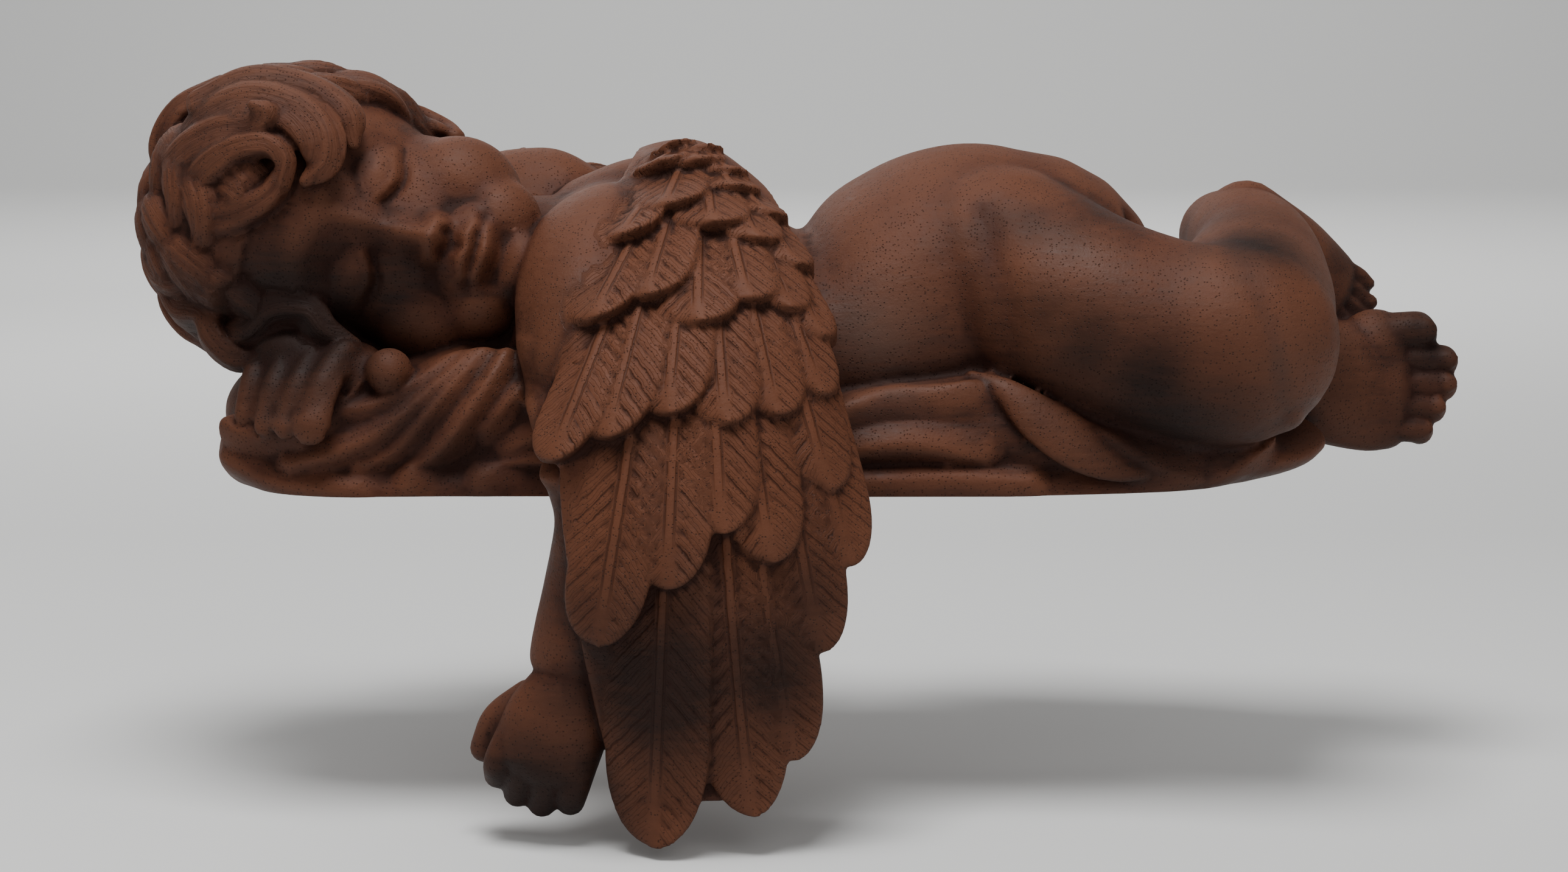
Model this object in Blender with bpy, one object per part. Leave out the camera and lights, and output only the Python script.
"""A sleeping cherub cast in stone, lying on a folded cloth at the edge of a shelf.

The head is at -X and the feet are at +X. The back lies towards +Y. The left arm and the left wing
hang over the shelf's edge at -Y, so they reach below the flat underside at Z = 0.
Free forms are given in millimetres of a figure REFERENCE_LENGTH_MM long, and FIGURE_LENGTH sets
the real length that they are built to.
"""

import math

import bmesh
import bpy
import numpy as np
from mathutils import Matrix, Vector

# Driving dimensions, in metres
FIGURE_LENGTH = 0.358
SHELF_EDGE_Y = -0.064  # plane of the shelf's front edge, behind the hanging arm and wing
WING_THICKNESS = 0.0065
FEATHER_STEP = 0.0045  # how far a feather's tip stands over the row below it

# Finish and mesh density
REFERENCE_LENGTH_MM = 358.0
SOLID_TRIANGLES = 9600
BODY_CELL_MM = 1.7  # cell for blending the body, in millimetres of the figure
CARVING_CELL_MM = 1.55
STONE_COLOUR = (0.125, 0.045, 0.028, 1.0)
STONE_ROUGHNESS = 0.62
STONE_METALLIC = 0.0

MM = FIGURE_LENGTH / REFERENCE_LENGTH_MM
WING_THICKNESS_MM = WING_THICKNESS / MM
FEATHER_STEP_MM = FEATHER_STEP / MM


def smooth_path(keys, per_span):
    """Rows of numbers, with rows between them read from a Catmull-Rom curve through them."""
    rows = np.array(keys, float)
    padded = np.vstack([2 * rows[0] - rows[1], rows, 2 * rows[-1] - rows[-2]])
    made = []
    for i in range(1, len(padded) - 2):
        before, start, end, after = padded[i - 1 : i + 3]
        for t in np.arange(per_span) / per_span:
            made.append(
                0.5
                * (
                    2 * start
                    + (end - before) * t
                    + (2 * before - 5 * start + 4 * end - after) * t**2
                    + (3 * start - before - 3 * end + after) * t**3
                )
            )
    made.append(rows[-1])
    return np.array(made)


def unit(vector):
    return vector / max(np.linalg.norm(vector), 1e-9)


def add_surface(shapes, points, faces):
    """Collects one closed surface; shapes holds (points, faces) pairs."""
    shapes.append((np.array(points, float), faces))


def add_rings(shapes, rings, start, end):
    """Closes a stack of equal rings with a fan at each end."""
    count = len(rings[0])
    points = [start] + [p for ring in rings for p in ring] + [end]
    faces = []
    for j in range(count):
        faces.append((0, 1 + (j + 1) % count, 1 + j))
    for i in range(len(rings) - 1):
        low = 1 + i * count
        for j in range(count):
            k = (j + 1) % count
            faces.append((low + j, low + k, low + count + k, low + count + j))
    last = 1 + (len(rings) - 1) * count
    for j in range(count):
        faces.append((last + j, last + (j + 1) % count, len(points) - 1))
    add_surface(shapes, points, faces)


def add_limb(shapes, keys, face=(0, 0, 1), sides=20, per_span=5, grooves=0, groove_depth=0.0):
    """A rounded limb through keys of (x, y, z, half width, half thickness).

    The thickness points towards face. Grooves run along it, as in a lock of hair.
    """
    rows = smooth_path(keys, per_span)
    centres = rows[:, :3]
    tangents = np.gradient(centres, axis=0)
    turns = np.linspace(0, 2 * math.pi, sides, endpoint=False)
    lobes = 1 - groove_depth * (0.5 + 0.5 * np.cos(grooves * turns)) if grooves else np.ones(sides)

    def ring(i, share, shift):
        along = unit(tangents[i])
        up = unit(np.array(face, float) - np.dot(face, along) * along)
        across = np.cross(along, up)
        wide, thick = np.maximum(rows[i, 3:5], 0.15) * share
        offsets = np.outer(np.cos(turns) * wide * lobes, across)
        offsets += np.outer(np.sin(turns) * thick * lobes, up)
        return centres[i] + along * shift + offsets

    def cap(i, sign):
        reach = min(rows[i, 3], rows[i, 4])
        return [
            ring(i, math.cos(turn), sign * reach * math.sin(turn))
            for turn in np.radians((22, 45, 67))
        ]

    last = len(rows) - 1
    rings = cap(0, -1)[::-1] + [ring(i, 1, 0) for i in range(last + 1)] + cap(last, 1)
    start = centres[0] - unit(tangents[0]) * min(rows[0, 3], rows[0, 4])
    end = centres[last] + unit(tangents[last]) * min(rows[last, 3], rows[last, 4])
    add_rings(shapes, rings, start, end)


def add_ball(shapes, centre, radii, turn=None, sides=20):
    """An ellipsoid, with an optional 3 x 3 rotation."""
    turn = np.eye(3) if turn is None else np.array(turn)
    around = np.linspace(0, 2 * math.pi, sides, endpoint=False)
    rings = []
    for height in np.linspace(-math.pi / 2, math.pi / 2, sides // 2 + 1)[1:-1]:
        flat = np.column_stack(
            [
                np.cos(around) * math.cos(height) * radii[0],
                np.sin(around) * math.cos(height) * radii[1],
                np.full(sides, math.sin(height) * radii[2]),
            ]
        )
        rings.append(np.array(centre) + flat @ turn.T)
    pole = turn @ np.array([0, 0, radii[2]])
    add_rings(shapes, rings, np.array(centre) - pole, np.array(centre) + pole)


def moved(shapes, matrix):
    """The same shapes placed by a 4 x 4 matrix."""
    turn, shift = matrix[:3, :3], matrix[:3, 3]
    return [(points @ turn.T + shift, faces) for points, faces in shapes]


def frame_at(origin, forward, up, scale=1.0):
    """A 4 x 4 matrix whose local Y is forward and whose local Z is nearly up."""
    y = unit(np.array(forward, float))
    x = unit(np.cross(y, np.array(up, float)))
    z = np.cross(x, y)
    matrix = np.eye(4)
    matrix[:3, 0], matrix[:3, 1], matrix[:3, 2] = x * scale, y * scale, z * scale
    matrix[:3, 3] = origin
    return matrix


def finely(path, count, spacing=0.7):
    """A path with a row every spacing mm or so; count is how many of its columns are coordinates."""
    rows = np.array(path, float)
    if len(rows) < 2:
        return rows
    longest = np.linalg.norm(np.diff(rows[:, :count], axis=0), axis=1).max()
    return smooth_path(rows, max(1, math.ceil(longest / spacing)))


def ridge_heights(points, paths, sharp=1.0, lowest=0.0):
    """The highest of several ridges at each point.

    A path holds rows of coordinates like a point's, then the ridge's height and its half width.
    """
    best = np.full(len(points), lowest)
    count = points.shape[1]
    for path in paths:
        rows = finely(path, count)
        widest = rows[:, count + 1].max()
        low, high = rows[:, :count].min(axis=0) - widest, rows[:, :count].max(axis=0) + widest
        near = np.flatnonzero(np.all((points > low) & (points < high), axis=1))
        if not len(near):
            continue
        gaps = np.linalg.norm(points[near, None, :] - rows[None, :, :count], axis=2)
        at = np.argmin(gaps, axis=1)
        share = gaps[np.arange(len(near)), at] / rows[at, count + 1]
        height = rows[at, count] * np.clip(1 - share**2, 0, 1) ** sharp
        best[near] = np.maximum(best[near], height)
    return best


def soft_bumps(points, paths):
    """The sum of soft bumps and dents; a path's rows are laid out as in ridge_heights."""
    total = np.zeros(len(points))
    count = points.shape[1]
    for path in paths:
        rows = finely(path, count)
        gaps = np.linalg.norm(points[:, None, :] - rows[None, :, :count], axis=2)
        at = np.argmin(gaps, axis=1)
        share = gaps[np.arange(len(points)), at] / rows[at, count + 1]
        total += rows[at, count] * np.exp(-(share**2))
    return total


# The body

TORSO = (
    (-62, -6, 42, 36, 29),
    (-42, -8, 42, 46, 36),
    (-15, -8, 37, 48, 33),
    (8, -6, 34, 47, 29),
    (30, -4, 40, 47, 39),
    (48, -2, 44, 46, 42.5),
    (62, 0, 44, 42, 41),
)
NECK = ((-104, -10, 56, 27, 27), (-80, -10, 48, 27, 26), (-60, -8, 46, 30, 27))
LEFT_THIGH = (
    (56, -20, 52, 30, 30),
    (78, -35, 43, 29, 27.5),
    (98, -43, 38, 26.5, 26),
    (112, -47, 37, 26, 26),
    (118, -47, 38, 24, 25),
)
LEFT_SHIN = (
    (118, -46, 40, 23, 23),
    (122, -28, 47, 22, 21),
    (126.5, -8, 54, 18, 18),
    (126, 10, 59, 16, 15.5),
    (123, 24, 60, 13, 13),
)
RIGHT_THIGH = (
    (58, 14, 32, 32, 29),
    (80, 24, 26, 27, 24),
    (100, 26, 22, 23, 20),
    (116, 20, 20, 19, 18),
)
RIGHT_SHIN = ((112, 22, 20, 18, 17), (130, 12, 18, 17, 17), (146, 6, 18, 13.5, 14), (154, 5, 18, 12, 14))
LEFT_ARM = (
    (-34, -14, 58, 22, 20),
    (-46, -38, 54, 22, 22),
    (-46, -58, 38, 21, 20),
    (-42, -73, 16, 18, 15),
    (-42, -79, 0, 17, 14),
    (-46, -80, -18, 16, 13),
    (-51, -81, -36, 13, 12),
    (-52, -82, -42, 11, 10.5),
)
LEFT_SCAPULA = ((-52, 2, 66, 17, 12), (-38, 2, 70, 16, 13), (-26, 0, 70, 12, 12))
BUTTOCKS = (((55, 14, 51), (27.5, 30, 29)), ((52, 26, 34), (34, 30, 30)))
FILLINGS = (  # what closes the body with the right wing, and the left calf with the right ankle
    ((-82, 38, 58), (19, 15, 20)),
    ((-85, 44, 55), (13, 9.5, 21)),
    ((-56, 32, 57), (26, 16, 19)),
    ((-32, 34, 50), (22, 14, 20)),
    ((125, 6, 38), (15, 14, 14)),
)
WING_BED = ((-28, 2, 66, 10, 10), (-25, -22, 68, 13, 11), (-24, -46, 56, 17, 12), (-25, -66, 38, 17, 11))


def body_shapes():
    """The trunk and the limbs down to the ankles and the left wrist."""
    shapes = []
    for keys in (TORSO, NECK, LEFT_THIGH, LEFT_SHIN, RIGHT_THIGH, RIGHT_SHIN, LEFT_SCAPULA, WING_BED):
        add_limb(shapes, keys, sides=28)
    for centre, radii in BUTTOCKS + FILLINGS:
        add_ball(shapes, centre, radii, sides=28)
    return shapes


# The cloth under the body

CLOTH_BED = (
    (-135.5, -6, 8, 46, 13),
    (-110, -8, 1, 54, 15),
    (-84, -8, 1, 54, 15),
    (-40, -8, 1, 54, 15),
    (20, -8, 1, 54, 15),
    (60, -8, 1, 53, 14),
    (90, -6, 1, 50, 12),
    (107, -5, 4, 45, 9),
    (122, -4, 6, 40, 8),
    (134, -1, 9, 31, 6),
)
PILLOW = (
    ((-112, -10, 16), (38, 44, 20)),
    ((-84, -14, 20), (30, 44, 22)),
    ((-60, -20, 16), (24, 40, 18)),
)
FRONT_ROLL = (
    (-134, -42, 10, 12, 11),
    (-118, -46, 10, 13, 13),
    (-98, -47, 14, 12, 17),
    (-74, -47, 17, 12, 19),
    (-50, -47, 14, 13, 15),
    (-10, -47, 12, 13, 14),
    (24, -46, 13, 13, 13),
    (52, -46, 14, 13, 13),
    (74, -45, 10, 13, 11),
    (100, -39, 8, 14, 11),
    (118, -32, 8, 14, 9),
)
FRONT_FOLDS = (  # crests as (x, z, height, half width)
    ((-151, 30, 3.5, 3.5), (-149, 20, 4.5, 4.0), (-138, 15, 5.0, 4.0), (-122, 15, 5.0, 4.0)),
    ((-122, 15, 5.0, 4.0), (-113, 21, 4.5, 4.0), (-108, 29, 3.5, 3.5), (-103, 36, 2.0, 3.0)),
    ((-113, 20, 3.0, 3.2), (-103, 22, 3.6, 3.2), (-93, 27, 3.4, 3.2), (-81, 35, 2.4, 3.0)),
    ((-124, 8, 3.4, 4.2), (-110, 12, 4.4, 4.4), (-97, 19, 4.6, 4.2), (-76, 36, 3.0, 3.4)),
    ((-108, 7, 2.4, 3.4), (-98, 12, 3.8, 3.8), (-88, 22, 4.2, 4.0), (-73, 38, 3.0, 3.4)),
    ((-94, 6, 3.0, 4.0), (-84, 15, 4.4, 4.6), (-74, 28, 4.2, 4.2), (-67, 40, 3.0, 3.6)),
    ((-143, 8, 2.0, 3.6), (-128, 3, 2.6, 4.0), (-108, 2, 2.2, 4.0)),
    (
        (-76, 17, 2.0, 3.4),
        (-67, 25, 3.6, 3.6),
        (-60, 24, 4.0, 3.6),
        (-61, 17, 3.4, 3.6),
        (-70, 11, 2.0, 3.0),
    ),
    ((-76, 5, 2.4, 3.6), (-64, 9, 3.8, 4.0), (-52, 8, 3.4, 4.0)),
    ((10, 19, 3.0, 3.6), (25, 23, 4.2, 3.8), (41, 24, 4.6, 3.8), (54, 27, 4.4, 3.8)),
    ((54, 27, 4.4, 3.8), (61, 20, 5.0, 4.6), (70, 13, 4.6, 4.6), (83, 6, 3.0, 4.4)),
    ((12, 11, 3.0, 4.2), (32, 13, 4.4, 4.6), (50, 10, 3.2, 4.4)),
    ((10, 3, 2.0, 3.6), (40, 4, 2.8, 3.8), (62, 3, 2.4, 3.8)),
    ((70, 20, 2.0, 3.6), (82, 13, 3.2, 4.6), (94, 7, 2.6, 4.6), (106, 3, 1.6, 4.0)),
    ((108, 2, 1.6, 3.4), (116, 6, 3.0, 3.6), (124, 12, 3.6, 3.6), (130, 18, 2.4, 3.2)),
)
BACK_FOLDS = (
    ((-136, 4, 2.0, 4.0), (-110, 12, 3.6, 5.0), (-84, 20, 3.0, 5.0)),
    ((-100, 3, 2.0, 4.0), (-70, 9, 3.4, 5.0), (-40, 8, 2.6, 5.0)),
    ((-30, 4, 2.0, 4.0), (0, 10, 3.6, 5.0), (32, 7, 3.0, 5.0)),
    ((24, 2, 2.0, 4.0), (60, 7, 3.6, 5.0), (98, 3, 2.4, 5.0)),
)
THUMB_KNOB = ((-100, -55, 31), (6.0, 6.5, 6.0))


def cloth_shapes():
    """The folded cloth and the padded roll under the head."""
    shapes = []
    add_limb(shapes, CLOTH_BED, sides=32)
    add_limb(shapes, FRONT_ROLL, sides=20)
    for centre, radii in PILLOW:
        add_ball(shapes, centre, radii, sides=28)
    add_ball(shapes, *THUMB_KNOB, sides=14)
    return shapes


def folded(points, normals):
    """Raises the crests of the folds out of the cloth's sides, and lowers the valleys between them."""
    flat = points[:, [0, 2]]
    low = np.clip((46 - points[:, 2]) / 8, 0, 1)
    for folds, facing in ((FRONT_FOLDS, -normals[:, 1]), (BACK_FOLDS, normals[:, 1])):
        side = np.clip(2.2 * facing - 0.2, 0, 1) * np.clip((np.abs(points[:, 1]) - 34) / 8, 0, 1)
        points = points + normals * (ridge_heights(flat, folds, 1.4) * side * low)[:, None]
    return points


# The head, in its own axes: X to its right, Y out of the face, Z to the crown

HEAD_CENTRE = (-124, -14, 65)
HEAD_UP = (-0.97, 0.03, 0.24)
FACE_FORWARD = (0.04, -0.97, 0.20)
SKULL_RADII = (36.5, 41.0, 39.0)
EYE_HEIGHT = -17.0
EYE_SPREAD = 14.0
NOSE_HEIGHT = -34.0
MOUTH_HEIGHT = -45.0
CHIN_HEIGHT = -57.0
FACE_RELIEF = (  # paths of (x, z, height out of the face, half width), repeated on both sides
    ((13.0, EYE_HEIGHT + 2.5, -4.6, 8.0),),
    ((5.0, -5.0, 0.8, 3.6), (14.0, -2.6, 1.6, 4.0), (25.0, -7.5, 0.8, 3.6)),
    ((EYE_SPREAD, EYE_HEIGHT - 0.6, 3.4, 5.2),),
    ((EYE_SPREAD - 3.5, EYE_HEIGHT - 0.4, 1.2, 4.2), (EYE_SPREAD + 4, EYE_HEIGHT - 0.4, 1.2, 4.2)),
    ((7.0, -14.0, -0.8, 1.5), (EYE_SPREAD, -10.6, -1.3, 1.6), (22.5, -15.0, -0.7, 1.5)),
    ((6.6, -19.6, -1.2, 1.3), (10.0, -21.8, -1.5, 1.3), (14.5, -22.8, -1.6, 1.3), (22.0, -20.2, -1.0, 1.3)),
    ((4.9, NOSE_HEIGHT - 0.8, 3.6, 2.7),),
    ((3.0, NOSE_HEIGHT - 3.8, -2.4, 1.5),),
    ((8.5, -36.0, -0.9, 2.2), (12.5, -43.0, -0.6, 2.4)),
    ((9.6, MOUTH_HEIGHT - 0.2, -1.6, 1.7),),
)
MIDDLE_RELIEF = (
    ((0.0, -7.0, 1.0, 4.2), (0.0, -20.0, 3.2, 4.2), (0.0, -30.0, 6.0, 4.4), (0.0, NOSE_HEIGHT, 7.4, 4.6)),
    ((0.0, NOSE_HEIGHT + 0.6, 1.6, 3.6),),
    ((0.0, -39.0, -0.9, 1.6), (0.0, -42.0, -0.7, 1.5)),
    (
        (-8.6, MOUTH_HEIGHT + 0.2, 0.6, 1.6),
        (-3.6, MOUTH_HEIGHT + 2.0, 2.2, 1.9),
        (0.0, MOUTH_HEIGHT + 1.5, 2.4, 1.8),
        (3.6, MOUTH_HEIGHT + 2.0, 2.2, 1.9),
        (8.6, MOUTH_HEIGHT + 0.2, 0.6, 1.6),
    ),
    (
        (-8.8, MOUTH_HEIGHT - 0.4, -1.4, 1.0),
        (0.0, MOUTH_HEIGHT - 0.6, -2.2, 1.1),
        (8.8, MOUTH_HEIGHT - 0.4, -1.4, 1.0),
    ),
    (
        (-6.0, MOUTH_HEIGHT - 2.4, 1.0, 1.8),
        (0.0, MOUTH_HEIGHT - 3.4, 2.8, 2.2),
        (6.0, MOUTH_HEIGHT - 2.4, 1.0, 1.8),
    ),
    (
        (-6.0, MOUTH_HEIGHT - 6.8, -1.2, 2.2),
        (0.0, MOUTH_HEIGHT - 7.4, -1.8, 2.4),
        (6.0, MOUTH_HEIGHT - 6.8, -1.2, 2.2),
    ),
)


def face_shapes():
    """The head without its hair: calm, on the usual proportions of a small child."""
    shapes = []
    add_ball(shapes, (0, 0, 0), SKULL_RADII, sides=32)
    add_ball(shapes, (0, 13, 2), (30, 26, 27), sides=28)
    add_ball(shapes, (0, 8, -28), (30, 27, 29), sides=28)
    for side in (-1, 1):
        add_ball(shapes, (side * 14.5, 16, -36), (16.5, 15.5, 17), sides=24)
        add_ball(shapes, (side * 9, 22, -48), (13, 12, 12), sides=20)
    add_ball(shapes, (0, 27, CHIN_HEIGHT), (10, 9, 8.5), sides=20)
    add_ball(shapes, (0, 29, MOUTH_HEIGHT + 2), (13.5, 9, 10), sides=20)
    return shapes


def faced(local, facing):
    """The face's features, raised along the head's Y; facing is each normal's share along it."""
    near = np.flatnonzero((local[:, 1] > 6) & (np.abs(local[:, 0]) < 40) & (facing > 0))
    flat = local[near][:, [0, 2]]
    folded_flat = np.column_stack([np.abs(flat[:, 0]), flat[:, 1]])
    height = soft_bumps(folded_flat, FACE_RELIEF) + soft_bumps(flat, MIDDLE_RELIEF[2:])
    nose = soft_bumps(flat, MIDDLE_RELIEF[:2])
    height += nose / (1 + np.exp(-(flat[:, 1] - NOSE_HEIGHT + 4.0) / 0.7))
    made = local.copy()
    made[near, 1] += height * np.clip(2.5 * facing[near], 0, 1)
    return made


HAIR_WHORL = (0.0, -0.75, 0.66)
HAIR_CENTRE = (0.0, -1.5, 2.5)
HAIR_RADII = (39.5, 42.5, 41.5)
HAIRLINE = (  # round the whorl from the middle of the forehead, then how far the hair reaches, in degrees
    (-180, 112),
    (-140, 118),
    (-100, 116),
    (-60, 124),
    (-25, 132),
    (0, 130),
    (30, 122),
    (60, 108),
    (90, 106),
    (120, 112),
    (150, 112),
    (180, 112),
)
LOCK_RINGS = (  # locks, start angle from the whorl, length in mm
    (6, 6, 30),
    (12, 24, 30),
    (17, 43, 28),
    (20, 62, 27),
    (21, 80, 25),
    (19, 97, 24),
    (20, 112, 20),
)
LOCK_HEIGHT = 4.2
LOCK_HALF_WIDTH = 5.2
FREE_LOCKS = (  # keys of (x, y, z, half width, half thickness) in the figure's axes
    (
        (-158, -26, 84, 5, 4),
        (-148, -38, 93, 8, 5),
        (-136, -44, 98, 9, 5.5),
        (-124, -48, 96, 8, 5.5),
        (-117, -52, 90, 7, 5),
        (-116, -54, 83, 5, 4),
        (-120, -55, 79, 2, 2),
    ),
    (
        (-150, -36, 98, 5, 4),
        (-136, -38, 103, 7, 5),
        (-122, -40, 101, 7, 5),
        (-112, -44, 95, 6, 4.5),
        (-109, -47, 88, 2, 2),
    ),
    (
        (-161, -30, 78, 5, 4),
        (-152, -40, 86, 7, 5),
        (-142, -46, 91, 7, 5),
        (-134, -50, 92, 5.5, 4.5),
        (-130, -53, 96, 3.5, 3.5),
        (-133, -54, 98, 1.5, 2),
    ),
    (
        (-150, -42, 76, 5, 4.5),
        (-145, -48, 82, 5.5, 5),
        (-137, -52, 87, 4.5, 4.5),
        (-129, -54, 88, 3.5, 4),
        (-125, -55, 84, 3, 3.5),
        (-126, -55, 78, 2.5, 3),
    ),
    (
        (-152, -40, 70, 5, 4),
        (-144, -48, 70, 6, 5),
        (-136, -52, 72, 5.5, 5),
        (-129, -54, 76, 4, 4),
        (-126, -55, 82, 2, 2),
    ),
    ((-163, -28, 68, 5, 4), (-158, -37, 62, 6, 5), (-151, -43, 62, 5.5, 4.5), (-146, -46, 66, 2, 2)),
    (
        (-166, -20, 64, 5, 4),
        (-163, -28, 55, 6, 5),
        (-156, -36, 51, 6, 5),
        (-149, -41, 54, 4.5, 4),
        (-148, -43, 58, 2, 2),
    ),
    (
        (-162, -26, 52, 5, 4.5),
        (-156, -34, 45, 6, 5),
        (-149, -40, 44, 5.5, 5),
        (-146, -44, 38, 5, 4.5),
        (-140, -45, 33, 4, 4),
        (-133, -46, 34, 2, 2),
    ),
    (
        (-143, -42, 38, 4, 4.5),
        (-136, -45, 41, 5, 5),
        (-130, -47, 46, 5, 5),
        (-122, -48, 46, 5, 5),
        (-117, -49, 41, 4.5, 4.5),
        (-109, -49, 37, 2, 2),
    ),
    ((-150, -40, 56, 5, 4.5), (-142, -45, 52, 5.5, 5), (-136, -47, 47, 4.5, 4.5), (-133, -48, 42, 2, 2)),
    (
        (-126, -20, 96, 6, 6),
        (-115, -18, 101, 8, 6),
        (-107, -14, 99, 8, 6),
        (-102, -10, 92, 6, 5),
        (-98, -8, 85, 2, 2),
    ),
    (
        (-120, -6, 98, 7, 6),
        (-110, -3, 98, 8.5, 6.5),
        (-102, 0, 90, 8.5, 6),
        (-96, 2, 82, 6, 5),
        (-91, 4, 75, 2, 2),
    ),
    (
        (-122, 8, 97, 7, 6),
        (-111, 11, 95, 8.5, 6.5),
        (-102, 13, 88, 8.5, 6),
        (-94, 14, 79, 6, 5),
        (-89, 14, 72, 2, 2),
    ),
    ((-118, 20, 90, 6, 6), (-107, 22, 84, 7, 7), (-100, 22, 76, 6, 6), (-96, 20, 68, 3, 4)),
    (
        (-158, 0, 73, 6, 5),
        (-165.5, -2, 65, 6.5, 5.5),
        (-168, -4, 56, 7, 6),
        (-164, -8, 48, 6, 5),
        (-158, -12, 45, 2, 2),
    ),
    (
        (-160, -14, 56, 5, 5),
        (-161, -18, 47, 6, 6),
        (-156, -22, 40, 6, 6),
        (-149, -27, 37, 5, 5),
        (-143, -32, 37, 2, 2),
    ),
    ((-156, 10, 60, 6, 5), (-159, 6, 49, 7, 6), (-155, 2, 40, 7, 6), (-148, -2, 34, 4, 4)),
    ((-148, -14, 101, 6, 5), (-158, -14, 95, 7, 6), (-163, -15, 86, 6, 6), (-162, -18, 78, 3, 4)),
)


def hairline_degrees(turn):
    """How far from the whorl the hair reaches; turn 0 is the middle of the forehead."""
    turns, reach = np.array(HAIRLINE, float).T
    return np.interp((np.degrees(turn) + 180) % 360 - 180, turns, reach)


def scalp_axes():
    whorl = unit(np.array(HAIR_WHORL))
    right = np.array((1.0, 0.0, 0.0))
    front = np.cross(right, whorl)
    return whorl, front if front[1] > 0 else -front, right


def scalp_point(polar, turn, lift):
    """A place in the head's axes, lift mm outside the hair's base."""
    whorl, front, right = scalp_axes()
    polar, turn, lift = np.broadcast_arrays(polar, turn, lift)
    direction = np.cos(polar)[..., None] * whorl + np.sin(polar)[..., None] * (
        np.cos(turn)[..., None] * front + np.sin(turn)[..., None] * right
    )
    radii = np.array(HAIR_RADII)
    return np.array(HAIR_CENTRE) + direction * (radii + lift[..., None])


def lock_path(start, turn, length, curl, steps=12):
    """A lock's line over the scalp: it leaves the whorl, bends and ends in a hook."""
    polar, around = math.radians(start), turn
    rows = []
    for i in range(steps + 1):
        t = i / steps
        swell = math.sin(math.pi * (0.12 + 0.74 * t))
        rows.append((*scalp_point(polar, around, 0.0), LOCK_HEIGHT * swell, LOCK_HALF_WIDTH * swell))
        heading = curl * (math.sin(2.2 * t) * 0.9 + 1.2 * t**3)
        step = length / steps / HAIR_RADII[1]
        polar += math.cos(heading) * step
        around += math.sin(heading) * step / max(math.sin(polar), 0.35)
    return rows


def lock_paths():
    paths = []
    for ring, (count, start, length) in enumerate(LOCK_RINGS):
        for i in range(round(count)):
            turn = 2 * math.pi * (i + 0.5 * (ring % 2)) / count + 0.2 * math.sin(3.1 * i + ring)
            side = 1 if math.sin(turn + 0.5) > 0 else -1
            curl = side * (0.95 + 0.35 * math.sin(2.3 * i + 1.7 * ring))
            if start > hairline_degrees(turn) - 14:
                continue
            paths.append(lock_path(start + 4 * math.sin(5.3 * i + ring), turn, length, curl))
    return paths


def hair_shapes(rings=64, sides=96):
    """A cap of locks over the scalp, with free locks along the hairline."""
    polar = np.linspace(0, math.pi, rings + 1)[1:-1, None]
    turn = np.linspace(0, 2 * math.pi, sides, endpoint=False)[None, :]
    reach = np.radians(hairline_degrees(turn))
    edge = np.clip((reach - polar) / math.radians(7), 0, 1)
    base = scalp_point(polar, turn, 0.0).reshape(-1, 3)
    ridge = ridge_heights(base, lock_paths(), 0.6).reshape(edge.shape)
    lift = np.maximum(-7 + 7.4 * edge**0.6, ridge - 1.0 - 3.0 * (1 - edge))
    lift = np.where(edge > 0, np.maximum(lift, 0.4 * edge + ridge * edge), lift)
    cap = scalp_point(polar, turn, lift)
    shapes = []
    start, end = scalp_point(0.0, 0.0, 1.0), scalp_point(math.pi, 0.0, -7.0)
    add_rings(shapes, [cap[i] for i in range(len(cap) - 1, -1, -1)], end, start)
    return shapes


def free_lock_shapes():
    shapes = []
    for keys in FREE_LOCKS:
        middle = np.array(keys[len(keys) // 2][:3]) - np.array(HEAD_CENTRE)
        add_limb(shapes, keys, middle, sides=16, per_span=4, grooves=5, groove_depth=0.2)
    return shapes


def ear_shapes():
    """A small ear on the upper side of the head, half under the hair."""
    shapes = []
    rim = (
        (-35, -1, -13, 2.2, 2.2),
        (-37.5, -8, -11, 2.4, 2.2),
        (-38, -13, -17, 2.4, 2.2),
        (-36, -11, -25, 2.4, 2.2),
        (-33, -5, -29, 2.8, 2.4),
    )
    add_limb(shapes, rim, (-1, 0, 0), sides=12)
    add_ball(shapes, (-33.5, -6, -20), (3, 6, 8), sides=14)
    return shapes


HEAD = frame_at(HEAD_CENTRE, FACE_FORWARD, HEAD_UP)


# Hands and feet

LEFT_HAND = frame_at((-53, -84, -45), (-0.36, -0.08, -0.93), (-0.15, -0.98, 0.0))
RIGHT_HAND_FINGERS = (  # knuckle, fingertip, half width
    ((-112, -51, 35), (-119, -63, 20), 4.0),
    ((-120, -50, 34), (-125, -61, 19), 3.3),
    ((-127, -47, 34), (-131, -58, 19), 3.1),
    ((-134, -43, 34), (-137, -54, 20), 2.9),
)


def left_hand_shapes():
    """A loose hand hanging down: local Y runs to the fingertips and Z out of its back."""
    shapes = []
    add_limb(shapes, ((0, -2, 0, 10, 9), (0, 7, 0.5, 13, 9.5), (0, 17, 0, 13.5, 8.5)), sides=20)
    for i, (across, reach) in enumerate(((-9.6, 29), (-3.2, 32), (3.4, 32), (9.6, 29.5))):
        keys = (
            (across * 0.95, 14, 0.5, 4.3, 4.4),
            (across, 22, 1.2, 4.2, 4.2),
            (across, reach - 3, -3.5, 3.7, 3.6),
        )
        add_limb(shapes, keys, sides=14)
    add_limb(shapes, ((9, 6, -3, 5, 5), (14.5, 14, -5, 4.5, 4.5), (15.5, 22, -6, 3.8, 3.8)), sides=14)
    return shapes


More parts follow.
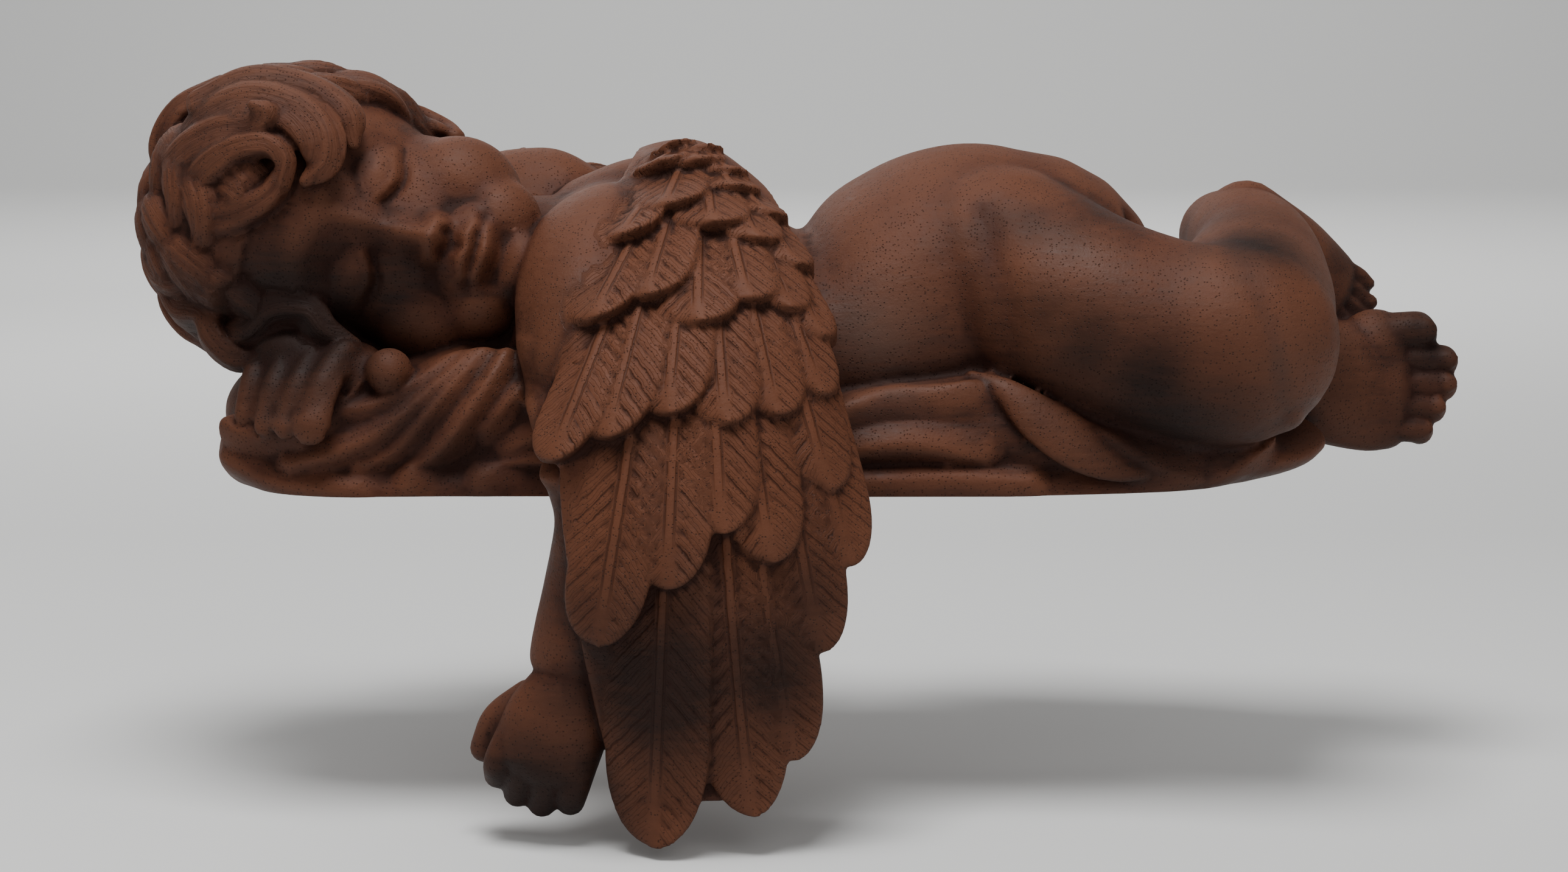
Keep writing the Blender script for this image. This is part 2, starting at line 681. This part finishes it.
def right_hand_shapes():
    """Fingertips of the hand that lies under the cheek."""
    shapes = []
    for knuckle, tip, half_width in RIGHT_HAND_FINGERS:
        middle = tuple((a + b) / 2 + lift for a, b, lift in zip(knuckle, tip, (0, -2.2, 1.0)))
        keys = []
        for place, share in ((knuckle, 1.05), (middle, 1.05), (tip, 0.95)):
            keys.append((*place, half_width * share, half_width * share))
        add_limb(shapes, keys, (0, -1, 0), sides=14)
    add_ball(shapes, (-124, -40, 35), (15, 12, 8), sides=20)
    add_ball(shapes, (-113, -44, 29), (12, 11, 9), sides=20)
    return shapes


TOES = (  # place across the foot, reach from the heel, radius
    (12.2, 45.8, 5.6),
    (5.8, 50.4, 3.9),
    (0.2, 50.2, 3.8),
    (-5.2, 47.6, 3.6),
    (-10.4, 44.6, 3.4),
)


def foot_shapes(mirror):
    """A chubby foot: local Y runs from heel to toes, Z out of its top, big toe at +X if mirror is 1."""
    shapes = []
    add_ball(shapes, (0, 4, 8), (10, 11, 10), sides=20)
    add_ball(shapes, (mirror * 8.5, 31, 6.5), (9.5, 9, 7), sides=20)
    plate = ((0, 4, 11, 10.5, 11), (0, 18, 9, 14, 10), (0, 28, 7, 15.5, 8), (0, 34, 6.5, 15, 6.5))
    add_limb(shapes, plate, sides=24)
    for across, reach, radius in TOES:
        keys = (
            (mirror * across * 0.94, 32, 6.5, radius, radius),
            (mirror * across, 39, 7.6, radius * 0.9, radius * 0.9),
            (mirror * across, reach - radius, 6.2, radius, radius * 0.95),
        )
        add_limb(shapes, keys, sides=14)
    return shapes


LEFT_FOOT = frame_at((119, 23, 61), (0.81, 0.0, -0.58), (0.30, -0.75, 0.60), 1.05)
RIGHT_FOOT = frame_at((126, 14, 18.2), (0.995, -0.08, 0.0), (-0.05, -0.96, 0.28), 1.18)


# Wings

LEFT_WING_STATIONS = (  # y, z, left x, right x, how far the left and right edges fall back
    (14, 68, -36, -18, 2, 4),
    (10, 80, -37, -16, 2, 6),
    (-6, 88, -40, -12, 3, 11),
    (-28, 84, -44, -2, 4, 11),
    (-52, 71, -50, 6, 4, 10),
    (-74, 52, -55, 11, 5, 12),
    (-89, 30, -58, 12, 5, 14),
    (-97, 6, -59, 11, 5, 13),
    (-100, -22, -55, 9, 5, 9),
    (-99, -50, -49, 3, 5, 6),
    (-96, -70, -43, -6, 4, 3),
)
LEFT_WING_ROWS = (  # length, then the tips from right to left as (x, z, half width)
    (72, ((16, -12, 8.5), (9, -33, 9.0), (2, -60, 9.5), (-8, -73, 10.0), (-32, -80, 11.5))),
    (54, ((11, 8, 8.0), (-3, -10, 9.0), (-15, -3, 9.0), (-28, -16, 9.5), (-45, -30, 9.5))),
    (40, ((9, 32, 7.0), (-2, 25, 8.5), (-14, 22, 8.5), (-28, 24, 9.0), (-43, 19, 9.0), (-56, 14, 7.5))),
    (30, ((9, 46, 6.5), (1, 50, 7.5), (-9, 50, 8.5), (-21, 44, 9.5), (-34, 50, 9.0), (-47, 46, 8.0))),
    (22, ((3, 61, 6.5), (-7, 64, 8.0), (-18, 66, 9.0), (-30, 70, 8.5), (-41, 64, 7.0))),
    (13, ((-4, 71, 6.5), (-13, 75, 7.5), (-23, 80, 7.5), (-33, 80, 6.5))),
    (8, ((-14, 79, 5.5), (-22, 83, 6.0), (-30, 84, 5.5))),
)
RIGHT_WING_STATIONS = (
    (4, 72, -74, -50, 1, 4),
    (14, 82, -82, -48, 3, 8),
    (27, 84, -91, -44, 4, 14),
    (44, 74, -98, -31, 7, 12),
    (58, 52, -101, -20, 9, 10),
    (66, 28, -98, -11, 9, 9),
    (68, 6, -90, -6, 7, 7),
)
RIGHT_WING_ROWS = (  # length, half width, tips between two ends as (x, z), how many
    (50, 9.5, (-89, 17), (-4, 10), 6),
    (38, 8.6, (-96, 36), (-10, 32), 7),
    (28, 8.0, (-96, 55), (-23, 52), 7),
    (20, 7.2, (-91, 70), (-34, 66), 6),
    (12, 6.2, (-83, 79), (-47, 77), 4),
)


class Wing:
    """A curved sheet that hangs from its top: x runs across it, and reach is the way down it in mm."""

    def __init__(self, stations):
        rows = smooth_path(stations, 12)
        steps = np.hypot(np.diff(rows[:, 0]), np.diff(rows[:, 1]))
        self.reach = np.concatenate([[0], np.cumsum(steps)])
        self.rows = rows
        slope = np.gradient(rows[:, :2], axis=0)
        slope /= np.linalg.norm(slope, axis=1)[:, None]
        outwards = np.sign(slope[-1, 1] * -1) * np.sign(rows[-1, 0] - rows[0, 0])
        self.normals = np.column_stack([-slope[:, 1], slope[:, 0]]) * outwards

    def read(self, reach, column):
        return np.interp(reach, self.reach, column)

    def point(self, x, reach, height):
        """The place at x and reach, height mm outside the sheet."""
        left, right = self.read(reach, self.rows[:, 2]), self.read(reach, self.rows[:, 3])
        share = (x - (left + right) / 2) / ((right - left) / 2)
        fall = np.where(share < 0, self.read(reach, self.rows[:, 4]), self.read(reach, self.rows[:, 5]))
        inset = height - fall * np.minimum(share**2, 2.5)
        y = self.read(reach, self.rows[:, 0]) + inset * self.read(reach, self.normals[:, 0])
        z = self.read(reach, self.rows[:, 1]) + inset * self.read(reach, self.normals[:, 1])
        over = reach - self.reach[-1]
        return np.stack([x + 0 * reach, y, z - np.maximum(over, 0)], axis=-1)

    def reach_of(self, z):
        """How far down the sheet a height lies, past its highest point."""
        top = int(np.argmax(self.rows[:, 1]))
        down = self.rows[top:, 1][::-1]
        if z < down[0]:
            return self.reach[-1] + down[0] - z
        return float(np.interp(z, down, self.reach[top:][::-1]))


def add_plate(shapes, top, bottom):
    """A closed plate between two grids of points of the same shape."""
    rows, columns = top.shape[:2]
    points = np.vstack([top.reshape(-1, 3), bottom.reshape(-1, 3)])
    count = rows * columns
    faces = []
    for i in range(rows - 1):
        for j in range(columns - 1):
            a, b = i * columns + j, (i + 1) * columns + j
            faces.append((a, a + 1, b + 1, b))
            faces.append((count + a, count + b, count + b + 1, count + a + 1))
    rim = (
        [j for j in range(columns)]
        + [i * columns + columns - 1 for i in range(1, rows)]
        + [(rows - 1) * columns + j for j in range(columns - 2, -1, -1)]
        + [i * columns for i in range(rows - 2, 0, -1)]
    )
    for a, b in zip(rim, rim[1:] + rim[:1]):
        faces.append((b, a, count + a, count + b))
    add_surface(shapes, points, faces)


def add_feather(shapes, wing, root, tip, half_width, thickness, rise, tilt, along=20, across=8):
    """One feather lying on the sheet; root and tip are (x, reach)."""
    t = 1 - (1 - np.linspace(0, 1, along + 1)[:, None]) ** 1.8
    side = np.linspace(-1, 1, across + 1)[None, :]
    round_tip = np.sqrt(np.clip(1 - (np.clip(t - 0.66, 0, 1) / 0.34) ** 2.4, 0.01, 1))
    width = half_width * (0.72 + 0.28 * np.sin(math.pi * np.clip(t, 0, 0.7) / 1.4)) * round_tip
    x = root[0] + (tip[0] - root[0]) * t**1.15 + width * side
    reach = root[1] + (tip[1] - root[1]) * t + 0 * side
    height = rise * (0.05 + 0.95 * t) - 1.4 * side**2 + tilt * side
    height = height + 1.1 * np.exp(-((side / 0.16) ** 2)) * (1.1 - t)
    top = wing.point(x, reach, height)
    bottom = wing.point(x, reach, height - thickness)
    add_plate(shapes, top, bottom)


def wing_shapes(stations, rows_of_tips, thickness, tilt):
    """The wing's sheet and its feathers, the rows nearest the shoulder on top."""
    wing = Wing(stations)
    shapes = []
    reach = np.linspace(wing.reach[0], wing.reach[-1], 24)[:, None]
    share = np.linspace(-0.86, 0.86, 13)[None, :]
    left, right = wing.read(reach, wing.rows[:, 2]), wing.read(reach, wing.rows[:, 3])
    x = (left + right) / 2 + share * (right - left) / 2
    add_plate(shapes, wing.point(x, reach, 0 * x), wing.point(x, reach, 0 * x - thickness))
    for length, tips in rows_of_tips:
        for i, (tip_x, tip_z, half_width) in enumerate(tips):
            tip_reach = wing.reach_of(tip_z)
            root_reach = max(tip_reach - length, 2)
            middle = (wing.read(root_reach, wing.rows[:, 2]) + wing.read(root_reach, wing.rows[:, 3])) / 2
            root_x = middle + (tip_x - middle) * 0.62
            rise = FEATHER_STEP_MM * (1.0 + 0.12 * math.sin(2.4 * i))
            root, tip = (root_x, root_reach), (tip_x, tip_reach)
            add_feather(shapes, wing, root, tip, half_width, thickness, rise, tilt)
    return shapes


def even_rows(rows, sag=8.0, unevenness=1.5):
    """Rows whose tips are evenly spaced on a sagging line between two ends."""
    made = []
    for length, half_width, first, last, count in rows:
        tips = []
        for i in range(round(count)):
            share = i / (round(count) - 1)
            drop = sag * math.sin(math.pi * share) - unevenness * math.sin(2.1 * i + length)
            tip_x = first[0] + (last[0] - first[0]) * share
            tip_z = first[1] + (last[1] - first[1]) * share - drop
            tips.append((tip_x, tip_z, half_width))
        made.append((length, tips))
    return made


# Building

def mesh_of(name, shapes):
    points, faces, first = [], [], 0
    for shape_points, shape_faces in shapes:
        points.extend((shape_points * MM).tolist())
        faces.extend([tuple(first + i for i in face) for face in shape_faces])
        first += len(shape_points)
    mesh = bpy.data.meshes.new(name)
    mesh.from_pydata(points, [], faces)
    mesh.update()
    return mesh


def evaluated(obj):
    """A new mesh of the object with its modifiers, and the object removed."""
    graph = bpy.context.evaluated_depsgraph_get()
    mesh = bpy.data.meshes.new_from_object(obj.evaluated_get(graph))
    bpy.data.objects.remove(obj)
    return mesh


def linked(name, mesh):
    obj = bpy.data.objects.new(name, mesh)
    bpy.context.scene.collection.objects.link(obj)
    return obj


def fused(mesh, voxel, strength, rounds):
    """One skin round every shape in the mesh, with its creases softened."""
    obj = linked("work", mesh)
    skin = obj.modifiers.new("skin", "REMESH")
    skin.mode = "VOXEL"
    skin.voxel_size = voxel
    skin.adaptivity = 0.0
    soften = obj.modifiers.new("soften", "SMOOTH")
    soften.factor = strength
    soften.iterations = rounds
    return evaluated(obj)


def shapes_of(mesh):
    """A blended mesh as a shape again, in figure millimetres."""
    points = np.empty(len(mesh.vertices) * 3, np.float32)
    mesh.vertices.foreach_get("co", points)
    faces = [tuple(p.vertices) for p in mesh.polygons]
    return (points.reshape(-1, 3).astype(float) / MM, faces)


CREASES = (  # keys of (x, y, z), depth, half width
    (((50, -48, 68), (54, -57, 52), (56, -60, 30)), 3.0, 4.5),
    (((92, -14, 66), (100, -27, 64), (107, -40, 61)), 2.0, 3.2),
    (((34, 44, 60), (54, 48, 54), (74, 42, 44)), 3.5, 6.0),
    (((-34, 30, 70), (-4, 34, 60), (24, 36, 66), (38, 42, 64)), 2.6, 7.0),
    (((-66, -78, -40), (-52, -95, -43), (-38, -84, -42)), 2.0, 2.4),
)


def press(points, normals, keys, depth, half_width):
    """Pushes the skin in along a soft groove through the keys."""
    line = smooth_path(keys, 10)
    near = np.min(np.linalg.norm(points[:, None, :] - line[None, :, :], axis=2), axis=1)
    return points - normals * (depth * np.exp(-((near / half_width) ** 2)))[:, None]


def carved(mesh):
    """The blended skin with the face, the cloth's folds and the creases between the limbs."""
    points, faces = shapes_of(mesh)
    normals = np.empty(len(points) * 3, np.float32)
    mesh.vertices.foreach_get("normal", normals)
    normals = normals.reshape(-1, 3).astype(float)
    to_head = np.linalg.inv(HEAD)
    local = points @ to_head[:3, :3].T + to_head[:3, 3]
    head = faced(local, normals @ HEAD[:3, 1])
    points = head @ HEAD[:3, :3].T + HEAD[:3, 3]
    points = folded(points, normals)
    for keys, depth, half_width in CREASES:
        low, high = np.min(keys, axis=0) - 3 * half_width, np.max(keys, axis=0) + 3 * half_width
        inside = np.all((points > low) & (points < high), axis=1)
        points[inside] = press(points[inside], normals[inside], keys, depth, half_width)
    return points, faces


def shelf_cutter():
    """The space of the shelf under the figure, up to the plane of the shelf's front edge."""
    reach = 1.5 * FIGURE_LENGTH
    low = np.array((-reach, SHELF_EDGE_Y, -FIGURE_LENGTH))
    high = np.array((reach, reach, 0.0))
    mesh = bpy.data.meshes.new("shelf_space")
    box = bmesh.new()
    bmesh.ops.create_cube(
        box,
        size=1.0,
        matrix=Matrix.Translation(Vector((low + high) / 2)) @ Matrix.Diagonal((*(high - low), 1.0)),
    )
    box.to_mesh(mesh)
    box.free()
    cutter = linked("shelf_space", mesh)
    cutter.hide_render = True
    cutter.display_type = "WIRE"
    return cutter


def stone():
    material = bpy.data.materials.new("rust_stone")
    material.use_nodes = True
    shader = material.node_tree.nodes["Principled BSDF"]
    shader.inputs["Base Color"].default_value = STONE_COLOUR
    shader.inputs["Roughness"].default_value = STONE_ROUGHNESS
    shader.inputs["Metallic"].default_value = STONE_METALLIC
    return material


def main():
    for obj in list(bpy.data.objects):
        bpy.data.objects.remove(obj)

    masses = body_shapes() + cloth_shapes() + moved(face_shapes(), HEAD) + right_hand_shapes()
    add_limb(masses, LEFT_ARM, sides=24)
    blended = fused(mesh_of("masses", masses), BODY_CELL_MM * MM, 0.5, 8)
    carving = [carved(blended)]
    carving += moved(hair_shapes() + ear_shapes(), HEAD) + free_lock_shapes()
    carving += right_hand_shapes() + moved(left_hand_shapes(), LEFT_HAND)
    carving += moved(foot_shapes(1), LEFT_FOOT) + moved(foot_shapes(-1), RIGHT_FOOT)
    carving += wing_shapes(LEFT_WING_STATIONS, LEFT_WING_ROWS, WING_THICKNESS_MM, 1.5)
    carving += wing_shapes(RIGHT_WING_STATIONS, even_rows(RIGHT_WING_ROWS), WING_THICKNESS_MM, 1.5)
    skin = fused(mesh_of("carving", carving), CARVING_CELL_MM * MM, 0.5, 1)

    angel = linked("angel_figure", skin)
    angel.data.materials.append(stone())
    triangles = sum(len(p.vertices) - 2 for p in skin.polygons)
    thin = angel.modifiers.new("fewer_faces", "DECIMATE")
    thin.ratio = SOLID_TRIANGLES / triangles
    cut = angel.modifiers.new("flat_underside", "BOOLEAN")
    cut.operation = "DIFFERENCE"
    cut.object = shelf_cutter()
    angel.data.shade_smooth()


main()
